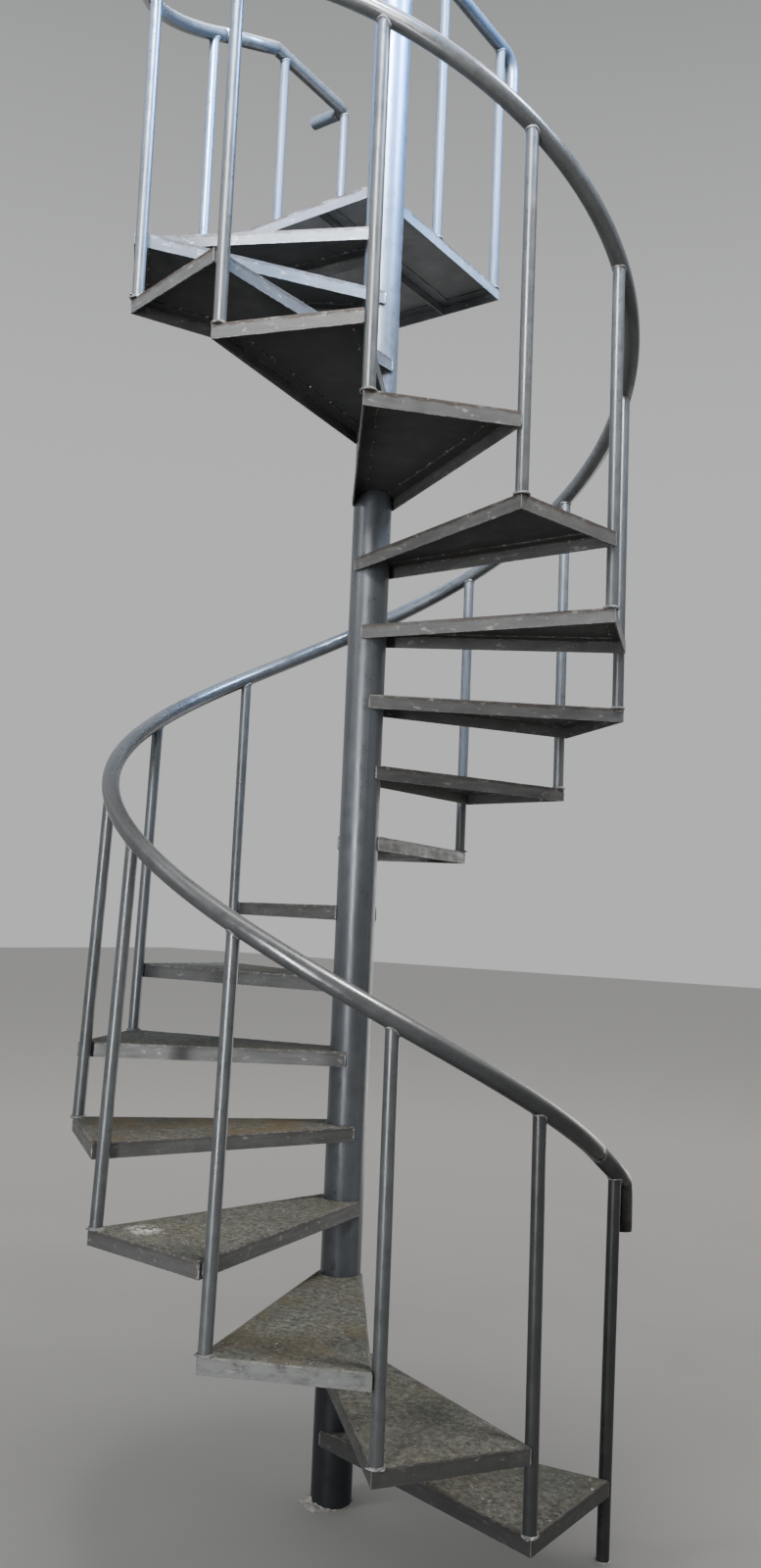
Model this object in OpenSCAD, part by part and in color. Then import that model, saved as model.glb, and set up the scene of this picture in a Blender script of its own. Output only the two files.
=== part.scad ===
// Spiral staircase of welded steel: a round centre pole carries winding treads
// that climb clockwise to a square landing, with pipe balusters under a coiled
// pipe handrail. The pole's foot is the origin, +Z is up, and the landing's
// wall edge faces +Y. All lengths are in millimetres.

/* [Flight] */
// Height from one tread top to the next
riser = 205; // [185:1:225]
// Angle that each tread turns from the one below
step_angle = 30.75; // [28:0.25:32]

/* [Centre pole] */
// Outside diameter of the centre pole
pole_d = 114.3; // [90:0.1:140]
// Wall of the centre pole
pole_wall = 4.5; // [3:0.5:8]
// Height of the pole above the landing
pole_above = 1000; // [930:5:1200]
// Thickness of the disc that closes the pole's foot
pole_foot_t = 8; // [4:1:15]
// Thickness of the cap plate on the pole
pole_cap_t = 5; // [3:1:10]
// Rounding of the cap's edge
pole_cap_round = 2.5; // [1:0.5:3]

/* [Treads] */
// Distance from the pole's axis to a tread's straight outer face
tread_reach = 741.5; // [700:0.5:790]
// Gap in plan between the outer corners of one tread and the next
corner_gap = 7.5; // [2:0.5:20]
// Distance from the pole's axis to the inner ends of a tread's side bars
bar_start = 0; // [-10:1:15]
// Leg of the angle bars that frame the treads
angle_leg = 38; // [30:1:45]
// Thickness of the angle bars
angle_t = 4; // [3:0.5:6]
// Thickness of the tread plates
plate_t = 2.5; // [2:0.5:5]
// Step back of the plates from the frame's outer faces
plate_inset = 1; // [0.5:0.5:5]
// Thickness of the gritty coat on the plates
coat_t = 1.5; // [1:0.5:4]
// Step back of the coat from the plate's edges
coat_inset = 2; // [1:0.5:8]

/* [Balusters] */
// Outside diameter of the balusters
baluster_d = 33.7; // [26:0.1:38]
// Wall of the balusters
baluster_wall = 2.6; // [2:0.1:4]
// Distance from a tread's outer face in to the baluster's axis
baluster_inset = 12; // [10:0.5:20]
// Thickness of the disc in the foot of the newel
newel_foot_t = 5; // [3:1:10]

/* [Handrail] */
// Outside diameter of the rail pipe
rail_d = 48.3; // [42:0.1:55]
// Wall of the rail pipe
rail_wall = 2.9; // [2:0.1:4]
// Radius of the tight bends at the rail's ends
elbow_r = 36; // [28:1:42]
// Height of the rail's axis over a tread's top, at its baluster
rail_rise = 972; // [900:1:1020]
// How much lower the rail's axis runs at the last baluster
rail_ease = 15; // [0:1:100]
// Number of steps over which the rail comes down by that much
ease_steps = 4; // [3:1:6]
// How far the rail's lower part leans in towards the pole, at the most
rail_lean = 36; // [0:1:50]
// Number of steps over which the rail leans in and out again
lean_steps = 9; // [6:1:12]
// Distance of the coil's lower end from the newel, up the stair
joint_in = 130; // [100:5:160]
// Length of the straight pipe from there, over the newel, to the elbow
rail_tail = 226; // [210:1:260]
// Length of the leg that hangs from the rail's lower end
tail_leg = 128; // [90:1:180]
// Distance of the coil's upper end past the last baluster
joint_out = 42; // [30:1:60]

/* [Landing] */
// Width of the landing, along X
landing_w = 756; // [700:1:800]
// Depth of the landing from its front edge to the wall, along Y
landing_depth = 780; // [740:1:820]
// Distance of the landing's right edge from the pole's axis
landing_side = 50; // [45:1:56]
// Distance of the landing's front edge from the pole's axis
landing_front = 20; // [10:1:30]
// Distance of the stiffener's edge from the landing's right edge
stiffener_in = 200; // [150:5:400]

/* [Landing rails] */
// Height of the landing rails' axis over the landing
guard_h = 940; // [900:5:970]
// Distance from the front edge to the bend of the left rail
bend_in = 330; // [280:1:380]
// Distance from the left rail's bend to its first post
post_past_bend = 55; // [45:1:90]
// Distance from the front edge to the first right post
post_right_in = 375; // [320:1:430]
// Length of the left rail's return to the side wall
return_l = 155; // [80:5:200]
// Radius of the bend at the end of the right rail
end_bend_r = 62; // [40:1:90]
// Distance of that bend's vertical leg past the last right post
end_reach = 92; // [80:1:120]
// Length of the straight leg below the bend
end_leg = 95; // [50:1:150]

/* [Fits] */
// Clearance of bars, plates and posts welded against a pipe
weld_fit = 0.2; // [0.1:0.1:0.5]
// Clearance of a coped pipe end on the handrail
cope_fit = 0.3; // [0.2:0.1:0.6]
// Clearance of the coat round a baluster's foot
coat_fit = 1; // [0.5:0.5:3]

/* [Hidden] */
$fn = 64;

// winding treads between the floor and the landing
tread_count = 18;
// rings per step of the coiled rail, sides of the swept pipes, and the
// largest turn between two rings of a bend
coil_rings = 6;
pipe_sides = 18;
bend_step = 10;

pole_r = pole_d / 2;
baluster_r = baluster_d / 2;
rail_r = rail_d / 2;
landing_top = riser * (tread_count + 1);
pole_top = landing_top + pole_above;
frame_down = coat_t + plate_t;

// A tread's own frame: +X runs out along its middle and -Y is its rear, where
// the next tread follows. Its side bars start tangent to the pole.
half_out = tread_reach * tan(step_angle / 2) - corner_gap / 2;
side_off = pole_r + weld_fit + angle_t;
flare = atan2(half_out, tread_reach) - asin(side_off / norm([half_out, tread_reach]));
function half_at(x, d) = (side_off - d) / cos(flare) + x * tan(flare);
function tread_angle(k) = 180 + step_angle / 2 + (tread_count - k) * step_angle;

// the tread's outline moved in by d, from x0 outwards
function outline(d, x0) = [
    [x0, -half_at(x0, d)],
    [tread_reach - d, -half_at(tread_reach - d, d)],
    [tread_reach - d, half_at(tread_reach - d, d)],
    [x0, half_at(x0, d)]
];

// A baluster stands on its tread's rear corner, against the next tread's bar.
turn = step_angle - flare;
baluster_x = tread_reach - baluster_inset;
baluster_y = (sin(turn) * baluster_x - side_off - baluster_r - weld_fit) / cos(turn);
coil_r = norm([baluster_x, baluster_y]);
function on_circle(a, r) = [r * cos(a), r * sin(a)];
function baluster_angle(s) = tread_angle(s) - atan2(baluster_y, baluster_x);
function baluster_at(s) = on_circle(baluster_angle(s), coil_r);

// The rail's axis at step s, which may be a fraction. It climbs evenly, and
// a little less over the last steps. Its lower part leans in, along the bars
// that the balusters touch, so that a leaning baluster stays clear of its bar.
ease_from = tread_count - ease_steps;
function lean(s) = s > 0 && s < lean_steps ? rail_lean * pow(sin(180 * s / lean_steps), 2) : 0;
function rail_z(s) = s * riser + rail_rise - max(0, s - ease_from) / ease_steps * rail_ease;
function rail_point(s) = [each (baluster_at(s) - on_circle(tread_angle(s) - turn, lean(s))), rail_z(s)];
function unit(v) = v / norm(v);
way_step = 0.01;
function rail_way(s) = unit(rail_point(s + way_step) - rail_point(s - way_step));
step_run = coil_r * step_angle * PI / 180;
coil_from = joint_in / step_run;
coil_to = tread_count + joint_out / step_run;

// The straight pipe runs on from the coil's lower end. It passes the newel a
// little further out, so the newel leans along the first tread's bar to meet it.
tail_start = rail_point(coil_from);
tail_way = -rail_way(coil_from);
newel_foot = [each baluster_at(0), 0];
newel_lean = on_circle(tread_angle(0) - turn, 1);
newel_run = cross([newel_foot[0] - tail_start[0], newel_foot[1] - tail_start[1]], newel_lean)
    / cross([tail_way[0], tail_way[1]], newel_lean);
newel_top = tail_start + newel_run * tail_way;

// the landing's edges, the lines of its rails and their ends
landing_x1 = -landing_side;
landing_x0 = landing_x1 - landing_w;
landing_y0 = landing_front;
landing_y1 = landing_y0 + landing_depth;
frame_top = landing_top - frame_down;
left_x = landing_x0 + baluster_r;
right_x = landing_x1 - baluster_r;
last_post_y = landing_y1 - baluster_r;
guard_z = landing_top + guard_h;
bend_y = landing_y0 + bend_in;
left_posts = [[left_x, bend_y + post_past_bend], [left_x, last_post_y]];
right_posts = [[right_x, landing_y0 + post_right_in], [right_x, last_post_y]];
leg_y = last_post_y + end_reach;

// puts +Z of its children along the unit vector v, at point at
module aim(at, v) {
    translate(at) rotate([0, 0, atan2(v[1], v[0])]) rotate([0, 90 - asin(v[2]), 0]) children();
}

// the axis of a pipe through the points, bent at radius r: places and headings
function bent_axis(points, r) = [
    [points[0], unit(points[1] - points[0])],
    for (i = [1 : len(points) - 2])
        let (u = unit(points[i] - points[i - 1]), v = unit(points[i + 1] - points[i]),
             turn = acos(u * v), n = unit(v - (u * v) * u), back = r * tan(turn / 2),
             c = points[i] - back * u + r * n, last = ceil(turn / bend_step))
        for (k = [0 : last])
            let (a = turn * k / last)
            [c + r * (sin(a) * u - cos(a) * n), cos(a) * u + sin(a) * n],
    [points[len(points) - 1], unit(points[len(points) - 1] - points[len(points) - 2])]
];

// a ring of radius r round c, square to t, that starts on the given side
function ring(c, t, side, r) =
    let (out = unit(side - (side * t) * t), up = cross(out, t))
    [for (j = [0 : pipe_sides - 1])
        let (a = 360 * j / pipe_sides) c + r * (cos(a) * out + sin(a) * up)];

// a skin through outer rings and, for a hollow pipe, inner rings
module skin(outer, inner = []) {
    n = len(outer);
    m = pipe_sides;
    hollow = len(inner) > 0;
    function quad(a, b, c, d) = [[a, b, c], [a, c, d]];
    outside = [for (i = [0 : n - 2], j = [0 : m - 1])
        let (a = i * m + j, b = i * m + (j + 1) % m) each quad(a, b, b + m, a + m)];
    inside = [if (hollow) for (i = [n : 2 * n - 2], j = [0 : m - 1])
        let (a = i * m + j, b = i * m + (j + 1) % m) each quad(a, a + m, b + m, b)];
    rims = [if (hollow) for (j = [0 : m - 1])
        let (k = (j + 1) % m, e = (n - 1) * m, f = n * m)
        each concat(quad(k, j, f + j, f + k), quad(e + j, e + k, f + e + k, f + e + j))];
    ends = [if (!hollow) each [[for (j = [m - 1 : -1 : 0]) j], [for (j = [0 : m - 1]) (n - 1) * m + j]]];
    polyhedron([each each outer, each each inner], concat(outside, inside, rims, ends), convexity = 8);
}

// a hollow rail along an axis, its rings started on the given side
module rail_pipe(axis, side) {
    skin([for (p = axis) ring(p[0], p[1], side, rail_r)],
        [for (p = axis) ring(p[0], p[1], side, rail_r - rail_wall)]);
}

// a pipe of length h along +Z, whose foot is closed up to foot_t
module pipe(h, d, wall, foot_t = 0) {
    difference() {
        cylinder(h = h, d = d);
        translate([0, 0, foot_t > 0 ? foot_t : -1]) cylinder(h = h + 2, d = d - 2 * wall);
    }
}

// the room that a rail takes at the top of a post
module rail_room(at, v) {
    aim(at, v) translate([0, 0, -rail_d]) cylinder(h = 2 * rail_d, r = rail_r + cope_fit);
}

module pole_room(fit) {
    translate([0, 0, -riser]) cylinder(h = pole_top + 2 * riser, r = pole_r + fit);
}

module centre_pole() {
    color([0.22, 0.23, 0.24]) pipe(pole_top, pole_d, pole_wall, pole_foot_t);
}

module pole_cap() {
    color([0.24, 0.25, 0.26])
        translate([0, 0, pole_top])
            rotate_extrude()
                union() {
                    square([pole_r, pole_cap_t - pole_cap_round]);
                    square([pole_r - pole_cap_round, pole_cap_t]);
                    intersection() {
                        translate([pole_r - pole_cap_round, pole_cap_t - pole_cap_round])
                            circle(r = pole_cap_round);
                        square([pole_r, pole_cap_t]);
                    }
                }
}

// a frame of angle bars, open at the pole, with the plate on top
module tread(k) {
    top = k * riser - frame_down;
    color([0.20, 0.21, 0.22])
        rotate([0, 0, tread_angle(k)])
            difference() {
                union() {
                    translate([0, 0, top - angle_leg])
                        linear_extrude(angle_leg)
                            difference() {
                                polygon(outline(0, bar_start));
                                polygon(outline(angle_t, bar_start - 5));
                            }
                    translate([0, 0, top - angle_t])
                        linear_extrude(angle_t)
                            difference() {
                                polygon(outline(0, bar_start));
                                polygon(outline(angle_leg, bar_start - 5));
                            }
                    translate([0, 0, top])
                        linear_extrude(plate_t) polygon(outline(plate_inset, bar_start));
                }
                pole_room(weld_fit);
            }
}

module tread_01() { tread(1); }
module tread_02() { tread(2); }
module tread_03() { tread(3); }
module tread_04() { tread(4); }
module tread_05() { tread(5); }
module tread_06() { tread(6); }
module tread_07() { tread(7); }
module tread_08() { tread(8); }
module tread_09() { tread(9); }
module tread_10() { tread(10); }
module tread_11() { tread(11); }
module tread_12() { tread(12); }
module tread_13() { tread(13); }
module tread_14() { tread(14); }
module tread_15() { tread(15); }
module tread_16() { tread(16); }
module tread_17() { tread(17); }
module tread_18() { tread(18); }

// the gritty coat on each plate, cut round the pole and the posts' feet
module step_coats() {
    color([0.40, 0.39, 0.36]) {
        for (k = [1 : tread_count])
            difference() {
                translate([0, 0, k * riser - coat_t])
                    rotate([0, 0, tread_angle(k)])
                        linear_extrude(coat_t)
                            polygon(outline(plate_inset + coat_inset, bar_start + coat_inset));
                pole_room(weld_fit + coat_inset);
                post_rooms([baluster_at(k)]);
            }
        difference() {
            landing_slab(plate_inset + coat_inset, landing_top - coat_t, coat_t);
            pole_room(weld_fit + coat_inset);
            post_rooms(left_posts);
            post_rooms(right_posts);
        }
    }
}

module post_rooms(posts) {
    for (p = posts)
        translate([p[0], p[1], 0]) cylinder(h = landing_top + riser, r = baluster_r + coat_fit);
}

// a pipe that may lean, from a level foot up to a rail that runs along v
module leaning_post(foot, top, v, foot_t = 0) {
    difference() {
        aim(foot, unit(top - foot))
            translate([0, 0, -baluster_r])
                pipe(norm(top - foot) + baluster_r, baluster_d, baluster_wall, foot_t);
        translate(foot - [baluster_d, baluster_d, 2 * baluster_d]) cube(2 * baluster_d);
        rail_room(top, v);
    }
}

// it stands on its tread's plate
module baluster(k) {
    leaning_post([each baluster_at(k), k * riser - coat_t], rail_point(k), rail_way(k));
}

module newel_post() {
    color([0.25, 0.26, 0.27])
        leaning_post(newel_foot, newel_top, tail_way, baluster_r + newel_foot_t);
}

module balusters_lower() {
    color([0.26, 0.27, 0.28]) for (k = [1 : 6]) baluster(k);
}

module balusters_middle() {
    color([0.27, 0.28, 0.30]) for (k = [7 : 12]) baluster(k);
}

module balusters_upper() {
    color([0.30, 0.32, 0.35]) for (k = [13 : tread_count]) baluster(k);
}

module handrail() {
    n = coil_rings * tread_count;
    function at(i) = coil_from + (coil_to - coil_from) * i / n;
    function coil_ring(s, r) =
        ring(rail_point(s), rail_way(s), [each on_circle(baluster_angle(s), 1), 0], r);
    color([0.23, 0.24, 0.25])
        skin([for (i = [0 : n]) coil_ring(at(i), rail_r)],
            [for (i = [0 : n]) coil_ring(at(i), rail_r - rail_wall)]);
}

// the rail's lower end: a straight piece, an elbow and a short leg
module handrail_end() {
    corner = tail_start + rail_tail * tail_way;
    side = [each on_circle(baluster_angle(coil_from), 1), 0];
    color([0.24, 0.25, 0.26])
        rail_pipe(bent_axis([tail_start, corner, corner - [0, 0, tail_leg]], elbow_r), side);
}

// a level rectangle of the landing's outline, moved in by d
module landing_slab(d, z, t) {
    translate([landing_x0 + d, landing_y0 + d, z])
        cube([landing_w - 2 * d, landing_depth - 2 * d, t]);
}

module landing_frame() {
    color([0.21, 0.22, 0.23])
        difference() {
            union() {
                difference() {
                    landing_slab(0, frame_top - angle_leg, angle_leg);
                    landing_slab(angle_t, frame_top - angle_leg - 1, angle_leg + 2);
                }
                difference() {
                    landing_slab(0, frame_top - angle_t, angle_t);
                    landing_slab(angle_leg, frame_top - angle_t - 1, angle_t + 2);
                }
            }
            pole_room(weld_fit);
        }
}

module landing_plate() {
    color([0.20, 0.21, 0.22])
        difference() {
            landing_slab(plate_inset, frame_top, plate_t);
            pole_room(weld_fit);
        }
}

module landing_stiffener() {
    x = landing_x1 - stiffener_in - angle_leg;
    color([0.19, 0.20, 0.21]) {
        translate([x, landing_y0 + angle_leg, frame_top - angle_t])
            cube([angle_leg, landing_depth - 2 * angle_leg, angle_t]);
        translate([x, landing_y0 + angle_t, frame_top - angle_leg])
            cube([angle_t, landing_depth - 2 * angle_t, angle_leg - angle_t]);
    }
}

// a post on the landing's plate, up to a level rail along Y
module landing_post(p) {
    foot_z = landing_top - coat_t;
    difference() {
        translate([p[0], p[1], foot_z]) pipe(guard_z - foot_z, baluster_d, baluster_wall);
        rail_room([p[0], p[1], guard_z], [0, 1, 0]);
    }
}

module landing_posts_left() {
    color([0.31, 0.33, 0.36]) {
        landing_post(left_posts[0]);
        difference() {
            landing_post(left_posts[1]);
            rail_room([each left_posts[1], guard_z], [1, 0, 0]);
        }
    }
}

module landing_posts_right() {
    color([0.31, 0.33, 0.36]) for (p = right_posts) landing_post(p);
}

// the left rail: up from the coil's end, level to the corner and round it
module landing_rail_left() {
    start = rail_point(coil_to);
    corner = [left_x, last_post_y, guard_z];
    axis = bent_axis([start, [left_x, bend_y, guard_z], corner, corner - [elbow_r, 0, 0]], elbow_r);
    color([0.28, 0.30, 0.33])
        rail_pipe([[start, rail_way(coil_to)],
            for (i = [1 : len(axis) - 2]) axis[i]], [0, 0, 1]);
}

// its straight return to the side wall, where a disc closes it
module rail_return() {
    color([0.28, 0.30, 0.33])
        translate([left_x - elbow_r, last_post_y, guard_z])
            rotate([0, -90, 0])
                difference() {
                    cylinder(h = return_l - elbow_r, d = rail_d);
                    translate([0, 0, -1])
                        cylinder(h = return_l - elbow_r - rail_wall + 1, d = rail_d - 2 * rail_wall);
                }
}

// the right rail: from the pole's flank past the last post, then down
module landing_rail_right() {
    color([0.28, 0.30, 0.33])
        difference() {
            end_bent_rail(rail_d, 0);
            end_bent_rail(rail_d - 2 * rail_wall, 1);
            pole_room(weld_fit);
        }
}

module end_bent_rail(d, over) {
    translate([right_x, -over, guard_z])
        rotate([-90, 0, 0]) cylinder(h = leg_y - end_bend_r + over, d = d);
    translate([right_x, leg_y - end_bend_r, guard_z - end_bend_r])
        rotate([90, 0, 90])
            rotate_extrude(angle = 90) translate([end_bend_r, 0]) circle(d = d);
    translate([right_x, leg_y, guard_z - end_bend_r - end_leg - over])
        cylinder(h = end_leg + over, d = d);
}

centre_pole();
pole_cap();
tread_01();
tread_02();
tread_03();
tread_04();
tread_05();
tread_06();
tread_07();
tread_08();
tread_09();
tread_10();
tread_11();
tread_12();
tread_13();
tread_14();
tread_15();
tread_16();
tread_17();
tread_18();
step_coats();
newel_post();
balusters_lower();
balusters_middle();
balusters_upper();
handrail();
handrail_end();
landing_frame();
landing_plate();
landing_stiffener();
landing_posts_left();
landing_posts_right();
landing_rail_left();
rail_return();
landing_rail_right();
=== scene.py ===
import math
import random

import bpy
from mathutils import Matrix, Vector, noise


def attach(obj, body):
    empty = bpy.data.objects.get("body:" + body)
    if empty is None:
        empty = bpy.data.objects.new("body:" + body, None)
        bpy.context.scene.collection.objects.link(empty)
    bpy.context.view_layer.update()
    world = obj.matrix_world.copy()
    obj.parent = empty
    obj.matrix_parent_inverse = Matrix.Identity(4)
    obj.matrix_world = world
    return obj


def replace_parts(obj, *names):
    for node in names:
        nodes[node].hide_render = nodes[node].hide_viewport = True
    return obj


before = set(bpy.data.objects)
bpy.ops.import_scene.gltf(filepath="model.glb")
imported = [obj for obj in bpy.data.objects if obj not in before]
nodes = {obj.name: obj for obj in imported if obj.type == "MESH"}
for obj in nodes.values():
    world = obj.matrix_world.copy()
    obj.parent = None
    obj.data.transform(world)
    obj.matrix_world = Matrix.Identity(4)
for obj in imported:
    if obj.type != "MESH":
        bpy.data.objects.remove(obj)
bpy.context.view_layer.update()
scene = bpy.context.scene

# Sizes in metres, from the part's source, with each pipe's radius for its diameter
RISER = 0.205
COUNT = 18
STEP = math.radians(30.75)
POLE_R = 0.05715
REACH = 0.7415
GAP = 0.0075
LEG = 0.038
LEG_T = 0.004
PLATE = 0.0025
INSET = 0.001
COAT = 0.0015
COAT_IN = 0.002
BAL_R = 0.01685
BAL_IN = 0.012
RAIL_R = 0.02415
RAIL_WALL = 0.0029
RAIL_RISE = 0.972
RAIL_EASE = 0.015
EASE_STEPS = 4
RAIL_LEAN = 0.036
LEAN_STEPS = 9
JOINT_IN = 0.130
RAIL_TAIL = 0.226
TAIL_LEG = 0.128
JOINT_OUT = 0.042
ELBOW_R = 0.036
FIT = 0.0002
LAND_X1, LAND_W = -0.050, 0.756
LAND_Y0, LAND_D = 0.020, 0.780
GUARD = 0.940
BEND_IN = 0.330
POST_PAST = 0.055
POST_RIGHT = 0.375
POLE_ABOVE = 1.000

TOP = RISER * (COUNT + 1)
FRAME_DOWN = COAT + PLATE
HALF_OUT = REACH * math.tan(STEP / 2) - GAP / 2
SIDE_OFF = POLE_R + FIT + LEG_T
FLARE = math.atan2(HALF_OUT, REACH) - math.asin(SIDE_OFF / math.hypot(HALF_OUT, REACH))
TURN = STEP - FLARE
BAL_X = REACH - BAL_IN
BAL_Y = (math.sin(TURN) * BAL_X - SIDE_OFF - BAL_R - FIT) / math.cos(TURN)
COIL_R = math.hypot(BAL_X, BAL_Y)
RUN = COIL_R * STEP
LAND_X0 = LAND_X1 - LAND_W
LAND_Y1 = LAND_Y0 + LAND_D
LEFT_X = LAND_X0 + BAL_R
RIGHT_X = LAND_X1 - BAL_R
LAST_Y = LAND_Y1 - BAL_R
GUARD_Z = TOP + GUARD
BEND_Y = LAND_Y0 + BEND_IN
UP = Vector((0, 0, 1))
THIRDS = (("lower", range(1, 7)), ("middle", range(7, 13)), ("upper", range(13, COUNT + 1)))

# Sizes in metres, and counts, of what only the scene adds
NOISE_SEED = 1
SOFT_EDGE = 0.0007
WORN_EDGE = 0.0024
PIPE_SIDES = 32
COIL_CUTS = 330
COAT_R = POLE_R + 0.0035
COAT_RAG = 0.0014
COAT_SINK = 0.0002
COAT_INNER_HALF = 0.0600
RAG_NOISE = 0.0016
TREAD_GRID = (100, 48)
LANDING_GRID = (120, 124)
FOOT_CUTS = 64
SADDLE_CUTS = 56
FOOT_BEAD = 0.0034
FOOT_BEAD_LOW = 0.0030
SADDLE_BEAD = 0.0026
POST_SIDE_BEAD = 0.0030
POST_SIDE_OFF = 0.0052
POLE_BEAD = 0.0032
BAR_BEAD = 0.0034
MITRE_BEAD = 0.0015
BUTT_BEAD = 0.0017
CAP_BEAD = 0.0016
TACK = 0.0045
TACK_SHIFT = 0.012
TACKS = 6
TACK_FROM = 0.14
TACK_STEP = 0.098
TACK_SPREAD = 0.09
# the tread whose front band carries a painted highlight, and how far below its top that band's middle sits
SHEEN_TREAD = 3
SHEEN_DOWN = 0.025
BROWN_TREADS = ((3, 0.30), (5, 0.75))
SPLASH_AT = (-0.141, -0.645, 0.82)
FLOOR_HALF = 30.0
MM = 1000.0

# Colours of dirt and wear, and of painted shade, painted reflection and painted highlight, linear
# painted shade by the stair's entry
ENTRY_SHADE = (0.014, 0.014, 0.013)
# painted reflection of the sky on the topmost metal
SKY_REFLECTION_BLUE = (0.030, 0.068, 0.135)
# darker colour towards the pole's foot
POLE_FOOT_DARK = (0.010, 0.011, 0.013)
# painted shade on undersides
UNDER_SHADE = (0.006, 0.006, 0.0075)
# hand wear and painted highlight on the rail's top
HAND_WEAR_AND_HIGHLIGHT = (0.235, 0.24, 0.245)
DUST = (0.26, 0.24, 0.205)
BARE_METAL = (0.36, 0.355, 0.34)
RIM_DIRT = (0.016, 0.012, 0.009)
STAIN = (0.070, 0.052, 0.036)
CHALK = (0.30, 0.295, 0.28)
# painted shade on the lowest bars
LOW_SHADE = (0.018, 0.018, 0.017)
# painted highlight on one tread's front band
BAND_SHEEN_COLOUR = (0.165, 0.172, 0.165)
RUST_DARK, RUST_LIGHT = (0.040, 0.017, 0.008), (0.150, 0.064, 0.026)

# Camera fitted to the photograph of 777 x 1600 px, whose long side stands for a 36 mm sensor
PHOTO_H = 1600.0
SENSOR = 36.0
FOCUS_PX = 1266.2
CAMERA_AT = (2.11774, -2.93857, 1.62991)
YAW, PITCH, ROLL = 34.876, 5.8245, -2.3271

# noise_vector starts from the clock unless it is given a seed
noise.seed_set(NOISE_SEED)


def half_at(x, d=0.0):
    return (SIDE_OFF - d) / math.cos(FLARE) + x * math.tan(FLARE)


def tread_angle(k):
    return math.pi + STEP / 2 + (COUNT - k) * STEP


def round_about(a, r=1.0, z=0.0):
    return Vector((r * math.cos(a), r * math.sin(a), z))


def tread_point(k, x, y, z):
    a = tread_angle(k)
    return Vector((x * math.cos(a) - y * math.sin(a), x * math.sin(a) + y * math.cos(a), z))


def baluster_angle(s):
    return tread_angle(s) - math.atan2(BAL_Y, BAL_X)


def rail_point(s):
    lean = RAIL_LEAN * math.sin(math.pi * s / LEAN_STEPS) ** 2 if 0 < s < LEAN_STEPS else 0.0
    ease = max(0.0, s - (COUNT - EASE_STEPS)) / EASE_STEPS * RAIL_EASE
    z = s * RISER + RAIL_RISE - ease
    return round_about(baluster_angle(s), COIL_R, z) - round_about(tread_angle(s) - TURN, lean)


def rail_way(s):
    return (rail_point(s + 0.01) - rail_point(s - 0.01)).normalized()


COIL_FROM = JOINT_IN / RUN
COIL_TO = COUNT + JOINT_OUT / RUN
TAIL_START = rail_point(COIL_FROM)
TAIL_WAY = -rail_way(COIL_FROM)
RAIL_CORNER = Vector((LEFT_X, LAST_Y, GUARD_Z))
RAIL_END = RAIL_CORNER - Vector((ELBOW_R, 0, 0))


def post_line(k):
    """foot and top of the axis of the post on tread k, or of the newel for k = 0"""
    foot = round_about(baluster_angle(k), COIL_R, k * RISER - COAT if k else 0.0)
    if k:
        return foot, rail_point(k)
    lean = round_about(tread_angle(0) - TURN)
    d = foot - TAIL_START
    run = (d.x * lean.y - d.y * lean.x) / (TAIL_WAY.x * lean.y - TAIL_WAY.y * lean.x)
    return foot, TAIL_START + run * TAIL_WAY


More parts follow.
